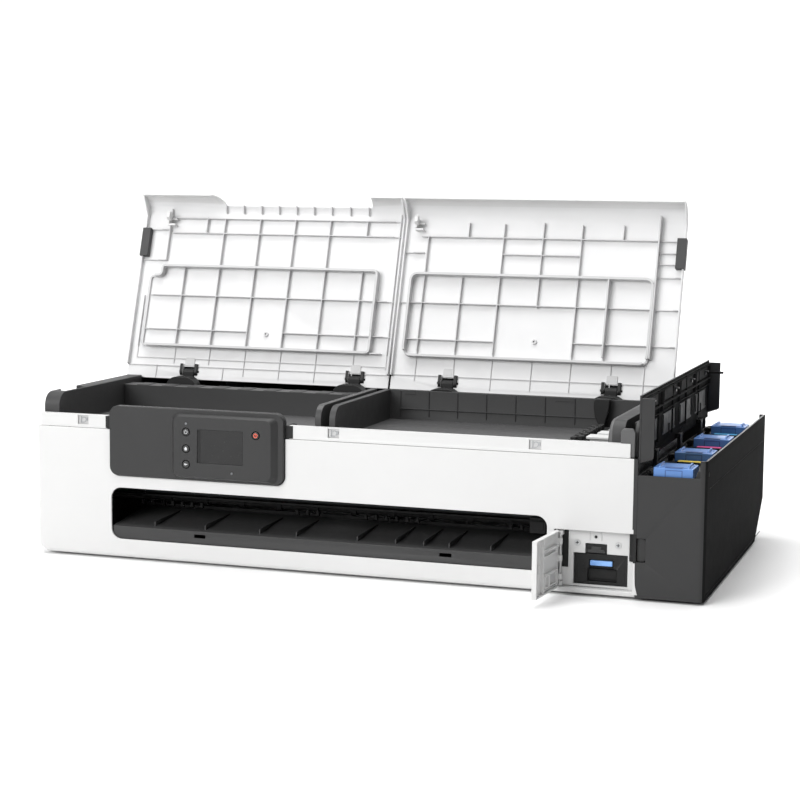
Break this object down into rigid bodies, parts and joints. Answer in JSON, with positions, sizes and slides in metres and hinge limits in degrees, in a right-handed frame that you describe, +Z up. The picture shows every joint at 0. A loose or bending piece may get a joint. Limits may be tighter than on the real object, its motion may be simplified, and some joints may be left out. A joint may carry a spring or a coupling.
{
  "type": "large format plotter",
  "caption": "Desktop large format plotter with tipping storage lids, side ink tank housing, control panel, paper exit slot and rear roll bay.",
  "frame": {"origin": "middle of the whole footprint, on the surface that the feet stand on, with the small front door standing open", "axes": "+X along the machine's length towards the ink housing, +Y from the front to the back, +Z up"},
  "size_m": [0.968, 0.6184, 0.5169],
  "materials": {
    "white_plastic": "fine-grained satin",
    "lid_plastic": "satin, light grey inside",
    "charcoal_plastic": "fine-grained matte",
    "black_plastic": "matte",
    "key_plastic": "satin",
    "screen": "glossy dark",
    "lens_plastic": "glossy tinted",
    "cap_blue": "satin",
    "latch_blue": "satin",
    "tank_plastic": "translucent",
    "steel": "brushed",
    "pinion_brass": "machined",
    "gear_nylon": "moulded",
    "roller_rubber": "ground",
    "flange_plastic": "moulded",
    "board_green": "solder mask",
    "supply_metal": "plated",
    "socket_plastic": "moulded"
  },
  "bodies": {
    "chassis": {"front_cover": "white_plastic", "top_strip": "white_plastic", "maintenance_bay": "white_plastic", "left_side_cover": "charcoal_plastic", "rear_cover": "charcoal_plastic", "left_bay_tray": "charcoal_plastic", "right_bay_tray": "charcoal_plastic", "right_end_wall": "charcoal_plastic", "panel_bezel": "charcoal_plastic", "panel_face": "charcoal_plastic", "ink_housing": "charcoal_plastic", "output_tray": "charcoal_plastic", "base_pan": "black_plastic", "lid_hinge_beam": "black_plastic", "ink_tube_clamp": "black_plastic", "ink_deck": "black_plastic", "platen": "black_plastic", "exit_guide": "black_plastic", "cleaning_unit": "black_plastic", "lcd_screen": "screen", "indicator_windows": "lens_plastic", "ink_tanks": "tank_plastic", "left_side_frame": "steel", "right_side_frame": "steel", "carriage_rail": "steel", "case_screws": "steel", "drive_motors": "steel", "rubber_feet": "roller_rubber", "timing_belt": "roller_rubber", "circuit_board": "board_green", "power_supply": "supply_metal", "rear_sockets": "socket_plastic"},
    "left_lid": {"left_lid": "lid_plastic", "left_lid_grip": "charcoal_plastic"},
    "right_lid": {"right_lid": "lid_plastic", "right_lid_grip": "charcoal_plastic"},
    "roll_cover": {"roll_cover": "charcoal_plastic"},
    "ink_cover": {"ink_cover": "charcoal_plastic"},
    "ink_cap_black": {"ink_cap_black": "cap_blue"},
    "ink_cap_yellow": {"ink_cap_yellow": "cap_blue"},
    "ink_cap_magenta": {"ink_cap_magenta": "cap_blue"},
    "ink_cap_cyan": {"ink_cap_cyan": "cap_blue"},
    "power_button": {"power_button": "key_plastic"},
    "home_button": {"home_button": "key_plastic"},
    "back_button": {"back_button": "key_plastic"},
    "stop_button": {"stop_button": "key_plastic"},
    "maintenance_door": {"maintenance_door": "white_plastic"},
    "maintenance_cartridge": {"maintenance_cartridge": "black_plastic"},
    "cartridge_latch": {"cartridge_latch": "latch_blue"},
    "carriage": {"carriage": "black_plastic", "print_head": "black_plastic"},
    "drive_pulley": {"drive_pulley": "gear_nylon"},
    "idler_pulley": {"idler_pulley": "gear_nylon"},
    "feed_roller": {"feed_roller": "roller_rubber", "feed_gear": "gear_nylon"},
    "motor_pinion": {"motor_pinion": "pinion_brass"},
    "pinch_rollers": {"pinch_rollers": "roller_rubber"},
    "exit_rollers": {"exit_rollers": "roller_rubber"},
    "roll_spindle": {"roll_spindle": "steel", "roll_flanges": "flange_plastic"}
  },
  "joints": [
    {"name": "left_lid_hinge", "type": "hinge", "parent": "chassis", "child": "left_lid", "pos_m": [-0.2645, 0.07217, 0.241], "axis": [1, 0, 0], "range_deg": [0, 108.1]},
    {"name": "right_lid_hinge", "type": "hinge", "parent": "chassis", "child": "right_lid", "pos_m": [0.17075, 0.07217, 0.241], "axis": [1, 0, 0], "range_deg": [0, 108.1]},
    {"name": "roll_cover_hinge", "type": "hinge", "parent": "chassis", "child": "roll_cover", "pos_m": [-0.039, 0.29717, 0.243], "axis": [-1, 0, 0], "range_deg": [0, 80]},
    {"name": "ink_cover_hinge", "type": "hinge", "parent": "chassis", "child": "ink_cover", "pos_m": [0.4, 0.04617, 0.1865], "axis": [0, 1, 0], "range_deg": [0, 90]},
    {"name": "ink_cap_black_hinge", "type": "hinge", "parent": "chassis", "child": "ink_cap_black", "pos_m": [0.405, -0.18883, 0.169], "axis": [0, 1, 0], "range_deg": [-65, 0]},
    {"name": "ink_cap_yellow_hinge", "type": "hinge", "parent": "chassis", "child": "ink_cap_yellow", "pos_m": [0.405, -0.04083, 0.169], "axis": [0, 1, 0], "range_deg": [-65, 0]},
    {"name": "ink_cap_magenta_hinge", "type": "hinge", "parent": "chassis", "child": "ink_cap_magenta", "pos_m": [0.405, 0.10717, 0.169], "axis": [0, 1, 0], "range_deg": [-65, 0]},
    {"name": "ink_cap_cyan_hinge", "type": "hinge", "parent": "chassis", "child": "ink_cap_cyan", "pos_m": [0.405, 0.25517, 0.169], "axis": [0, 1, 0], "range_deg": [-65, 0]},
    {"name": "power_button_press", "type": "slide", "parent": "chassis", "child": "power_button", "axis": [0, 1, 0], "range_m": [0, 0.0012], "stiffness_N_per_m": 400},
    {"name": "home_button_press", "type": "slide", "parent": "chassis", "child": "home_button", "axis": [0, 1, 0], "range_m": [0, 0.0012], "stiffness_N_per_m": 400},
    {"name": "back_button_press", "type": "slide", "parent": "chassis", "child": "back_button", "axis": [0, 1, 0], "range_m": [0, 0.0012], "stiffness_N_per_m": 400},
    {"name": "stop_button_press", "type": "slide", "parent": "chassis", "child": "stop_button", "axis": [0, 1, 0], "range_m": [0, 0.0012], "stiffness_N_per_m": 400},
    {"name": "maintenance_door_hinge", "type": "hinge", "parent": "chassis", "child": "maintenance_door", "pos_m": [0.2912, -0.21133, 0.05], "axis": [0, 0, 1], "range_deg": [0, 95]},
    {"name": "maintenance_cartridge_slide", "type": "slide", "parent": "chassis", "child": "maintenance_cartridge", "axis": [0, 1, 0], "range_m": [-0.115, 0]},
    {"name": "cartridge_latch_press", "type": "slide", "parent": "maintenance_cartridge", "child": "cartridge_latch", "axis": [0, 0, -1], "range_m": [0, 0.0025], "stiffness_N_per_m": 300},
    {"name": "carriage_slide", "type": "slide", "parent": "chassis", "child": "carriage", "axis": [-1, 0, 0], "range_m": [0, 0.64]},
    {"name": "drive_pulley_spin", "type": "hinge", "parent": "chassis", "child": "drive_pulley", "pos_m": [-0.418, -0.01383, 0.16], "axis": [0, -1, 0], "range_deg": [0, 4600]},
    {"name": "idler_pulley_spin", "type": "hinge", "parent": "chassis", "child": "idler_pulley", "pos_m": [0.356, -0.01383, 0.16], "axis": [0, -1, 0], "range_deg": [0, 4600]},
    {"name": "feed_roller_spin", "type": "hinge", "parent": "chassis", "child": "feed_roller", "pos_m": [-0.044, 0.00617, 0.052], "axis": [1, 0, 0], "continuous": true},
    {"name": "motor_pinion_spin", "type": "hinge", "parent": "chassis", "child": "motor_pinion", "pos_m": [0.31, 0.04642, 0.052], "axis": [1, 0, 0], "continuous": true},
    {"name": "pinch_rollers_spin", "type": "hinge", "parent": "chassis", "child": "pinch_rollers", "pos_m": [-0.044, 0.00617, 0.0706], "axis": [1, 0, 0], "continuous": true},
    {"name": "exit_rollers_spin", "type": "hinge", "parent": "chassis", "child": "exit_rollers", "pos_m": [-0.044, -0.09383, 0.0711], "axis": [1, 0, 0], "continuous": true},
    {"name": "roll_spindle_spin", "type": "hinge", "parent": "chassis", "child": "roll_spindle", "pos_m": [-0.044, 0.19917, 0.165], "axis": [1, 0, 0], "continuous": true}
  ],
  "couplings": [
    {"joint": "drive_pulley_spin", "follows": "carriage_slide", "rad_per_m": 123.46},
    {"joint": "idler_pulley_spin", "follows": "carriage_slide", "rad_per_m": 123.46},
    {"joint": "motor_pinion_spin", "follows": "feed_roller_spin", "ratio": -4},
    {"joint": "pinch_rollers_spin", "follows": "feed_roller_spin", "ratio": -2},
    {"joint": "exit_rollers_spin", "follows": "feed_roller_spin", "ratio": -1.8462}
  ]
}
